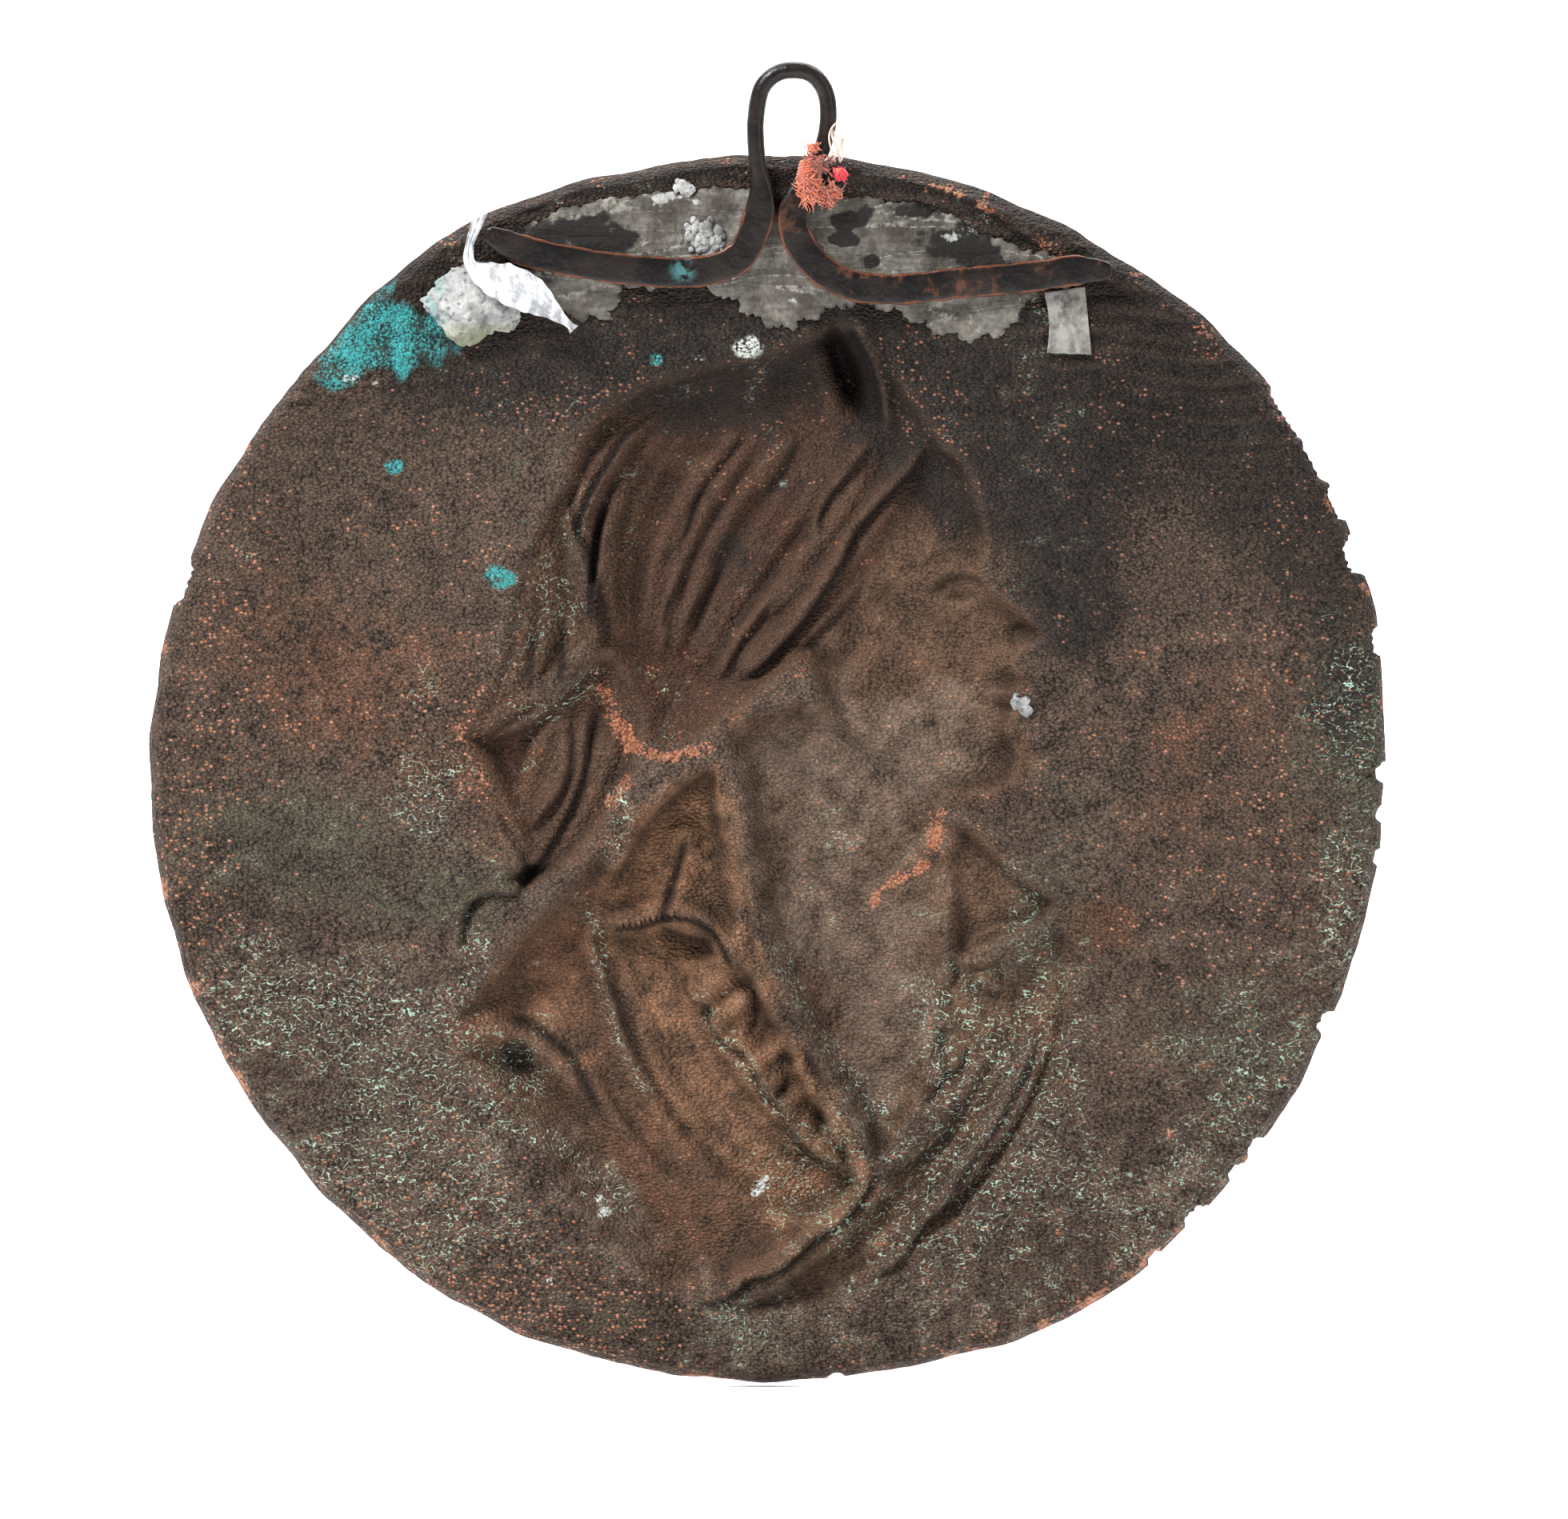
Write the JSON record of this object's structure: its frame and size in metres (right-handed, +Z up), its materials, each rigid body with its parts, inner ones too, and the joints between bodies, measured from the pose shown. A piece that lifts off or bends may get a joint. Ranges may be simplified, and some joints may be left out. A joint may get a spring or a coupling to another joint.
{
  "type": "copper relief plaque",
  "caption": "Round copper wall relief seen from its hollow back: sunk profile bust in a kerchief, worn rim, soldered wire hanging eye.",
  "frame": {"origin": "inside top of the hanging eye, on the wire's centre plane", "axes": "+Z up along the eye and the disc's height, +Y towards the raised front, -Y the hollow back that carries the hanger and is pictured, +X right as seen from the back"},
  "size_m": [0.1719, 0.0163, 0.1846],
  "materials": {
    "relief_shell": "grown copper with brown, black and green tarnish",
    "hanger": "hammered copper wire, blackened",
    "solder": "dull brushed soft solder",
    "plaster_lump": "porous grey-white plaster",
    "tape_stub": "dirty clear tape",
    "yarn_knot": "frayed wool yarn",
    "film_scrap": "torn thin white film"
  },
  "bodies": {
    "root": {"relief_shell": "relief_shell", "hanger": "hanger", "solder": "solder", "plaster_lump": "plaster_lump", "tape_stub": "tape_stub", "yarn_knot": "yarn_knot", "film_scrap": "film_scrap"}
  },
  "joints": []
}
